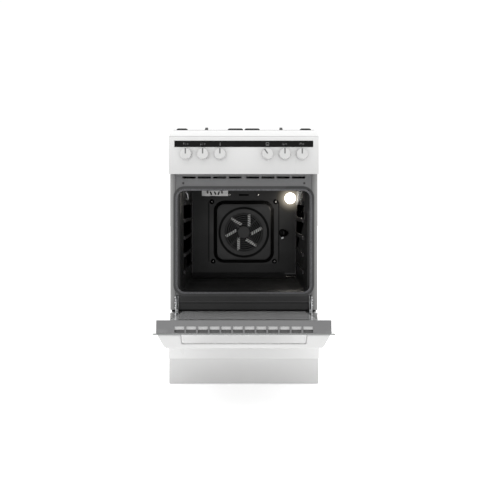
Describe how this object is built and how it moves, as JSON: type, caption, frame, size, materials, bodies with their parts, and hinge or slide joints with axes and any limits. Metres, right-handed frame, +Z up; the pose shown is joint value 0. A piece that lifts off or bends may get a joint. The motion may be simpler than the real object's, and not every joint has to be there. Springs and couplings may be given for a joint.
{
  "type": "freestanding gas range",
  "caption": "Narrow freestanding gas cooker with an electric oven, its drop-down door open, a drawer below, and a gas hob with pan supports on top.",
  "frame": {"origin": "on the floor, under the middle of the cooker's outline with its oven door open", "axes": "+X to the right as seen from the front, +Y to the back (the open door points to -Y), +Z up"},
  "size_m": [0.5, 1.0236, 0.87],
  "materials": {
    "white_enamel": "smooth glossy white stove enamel",
    "door_white_glass": "toughened glass printed white behind, with a dark viewing window",
    "grey_enamel": "satin grey enamel",
    "black_enamel": "glossy black vitreous enamel with fine speckle",
    "pan_support_enamel": "matt black enamel over steel bar",
    "burner_cap_enamel": "matt black enamel",
    "burner_aluminium": "cast aluminium",
    "inner_glass": "heat-reflecting clear glass",
    "strip_black": "glossy black fascia strip",
    "knob_white": "moulded white plastic",
    "zinc_sheet": "galvanised sheet steel",
    "spindle_steel": "turned steel",
    "heater_steel": "oxidised steel sheath",
    "fan_aluminium": "pressed aluminised steel",
    "rail_aluminium": "drawn tube",
    "tap_brass": "machined brass",
    "black_plastic": "moulded black plastic",
    "gasket": "braided glass-fibre oven seal",
    "mineral_wool": "mineral wool blanket",
    "lamp_glass": "ribbed heatproof lamp glass, lit"
  },
  "bodies": {
    "cooker_body": {"base_tray": "zinc_sheet", "burner_cap_front_left": "burner_cap_enamel", "burner_cap_front_right": "burner_cap_enamel", "burner_cap_rear_left": "burner_cap_enamel", "burner_cap_rear_right": "burner_cap_enamel", "burner_cup_front_left": "burner_aluminium", "burner_cup_front_right": "burner_aluminium", "burner_cup_rear_left": "burner_aluminium", "burner_cup_rear_right": "burner_aluminium", "control_panel": "white_enamel", "fan_cover": "black_enamel", "fan_motor": "zinc_sheet", "foot_front_left": "black_plastic", "foot_front_right": "black_plastic", "foot_rear_left": "black_plastic", "foot_rear_right": "black_plastic", "front_frame": "grey_enamel", "function_switch": "black_plastic", "gas_rail": "rail_aluminium", "gas_tap_front_left": "tap_brass", "gas_tap_front_right": "tap_brass", "gas_tap_rear_left": "tap_brass", "gas_tap_rear_right": "tap_brass", "grill_element": "heater_steel", "hinge_receiver_left": "zinc_sheet", "hinge_receiver_right": "zinc_sheet", "hob_plate": "white_enamel", "insulation": "mineral_wool", "lamp_cover": "lamp_glass", "lower_front_panel": "black_enamel", "oven_cavity": "black_enamel", "oven_seal": "gasket", "panel_strip": "strip_black", "plinth": "white_enamel", "rear_cover": "zinc_sheet", "side_panel_left": "white_enamel", "side_panel_right": "white_enamel", "terminal_box": "black_plastic", "thermostat": "black_plastic"},
    "oven_door": {"door_frame": "grey_enamel", "door_outer_panel": "door_white_glass", "door_inner_glass": "inner_glass", "door_handle": "white_enamel", "hinge_arm_left": "zinc_sheet", "hinge_arm_right": "zinc_sheet"},
    "drawer": {"drawer_front": "white_enamel", "drawer_box": "zinc_sheet"},
    "fan": {"fan_impeller": "fan_aluminium"},
    "spindle_rear_left": {"tap_spindle_rear_left": "spindle_steel"},
    "spindle_front_left": {"tap_spindle_front_left": "spindle_steel"},
    "spindle_front_right": {"tap_spindle_front_right": "spindle_steel"},
    "spindle_rear_right": {"tap_spindle_rear_right": "spindle_steel"},
    "knob_rear_left": {"knob_rear_left": "knob_white"},
    "knob_front_left": {"knob_front_left": "knob_white"},
    "knob_front_right": {"knob_front_right": "knob_white"},
    "knob_rear_right": {"knob_rear_right": "knob_white"},
    "knob_thermostat": {"knob_thermostat": "knob_white"},
    "knob_function": {"knob_function": "knob_white"},
    "pan_support_left": {"pan_support_left": "pan_support_enamel"},
    "pan_support_right": {"pan_support_right": "pan_support_enamel"}
  },
  "joints": [
    {"name": "door_hinge", "type": "hinge", "parent": "cooker_body", "child": "oven_door", "pos_m": [0, -0.05017, 0.24], "axis": [-1, 0, 0], "range_deg": [0, 84]},
    {"name": "drawer_slide", "type": "slide", "parent": "cooker_body", "child": "drawer", "axis": [0, -1, 0], "range_m": [0, 0.33]},
    {"name": "fan_spin", "type": "hinge", "parent": "cooker_body", "child": "fan", "pos_m": [0, 0.34883, 0.4895], "axis": [0, 1, 0], "continuous": true},
    {"name": "tap_push_rear_left", "type": "slide", "parent": "cooker_body", "child": "spindle_rear_left", "axis": [0, 1, 0], "range_m": [0, 0.003], "stiffness_N_per_m": 1000, "springref_m": -0.002},
    {"name": "knob_turn_rear_left", "type": "hinge", "parent": "spindle_rear_left", "child": "knob_rear_left", "pos_m": [-0.193, -0.09817, 0.7705], "axis": [0, -1, 0], "range_deg": [0, 210]},
    {"name": "tap_push_front_left", "type": "slide", "parent": "cooker_body", "child": "spindle_front_left", "axis": [0, 1, 0], "range_m": [0, 0.003], "stiffness_N_per_m": 1000, "springref_m": -0.002},
    {"name": "knob_turn_front_left", "type": "hinge", "parent": "spindle_front_left", "child": "knob_front_left", "pos_m": [-0.136, -0.09817, 0.7705], "axis": [0, -1, 0], "range_deg": [0, 210]},
    {"name": "tap_push_front_right", "type": "slide", "parent": "cooker_body", "child": "spindle_front_right", "axis": [0, 1, 0], "range_m": [0, 0.003], "stiffness_N_per_m": 1000, "springref_m": -0.002},
    {"name": "knob_turn_front_right", "type": "hinge", "parent": "spindle_front_right", "child": "knob_front_right", "pos_m": [0.136, -0.09817, 0.7705], "axis": [0, -1, 0], "range_deg": [0, 210]},
    {"name": "tap_push_rear_right", "type": "slide", "parent": "cooker_body", "child": "spindle_rear_right", "axis": [0, 1, 0], "range_m": [0, 0.003], "stiffness_N_per_m": 1000, "springref_m": -0.002},
    {"name": "knob_turn_rear_right", "type": "hinge", "parent": "spindle_rear_right", "child": "knob_rear_right", "pos_m": [0.193, -0.09817, 0.7705], "axis": [0, -1, 0], "range_deg": [0, 210]},
    {"name": "knob_turn_thermostat", "type": "hinge", "parent": "cooker_body", "child": "knob_thermostat", "pos_m": [-0.079, -0.09817, 0.7705], "axis": [0, 1, 0], "range_deg": [0, 270]},
    {"name": "knob_turn_function", "type": "hinge", "parent": "cooker_body", "child": "knob_function", "pos_m": [0.079, -0.09817, 0.7705], "axis": [0, -1, 0], "continuous": true},
    {"name": "pan_support_lift_left", "type": "slide", "parent": "cooker_body", "child": "pan_support_left", "axis": [0, 0, 1], "range_m": [0, 0.05]},
    {"name": "pan_support_lift_right", "type": "slide", "parent": "cooker_body", "child": "pan_support_right", "axis": [0, 0, 1], "range_m": [0, 0.05]}
  ]
}
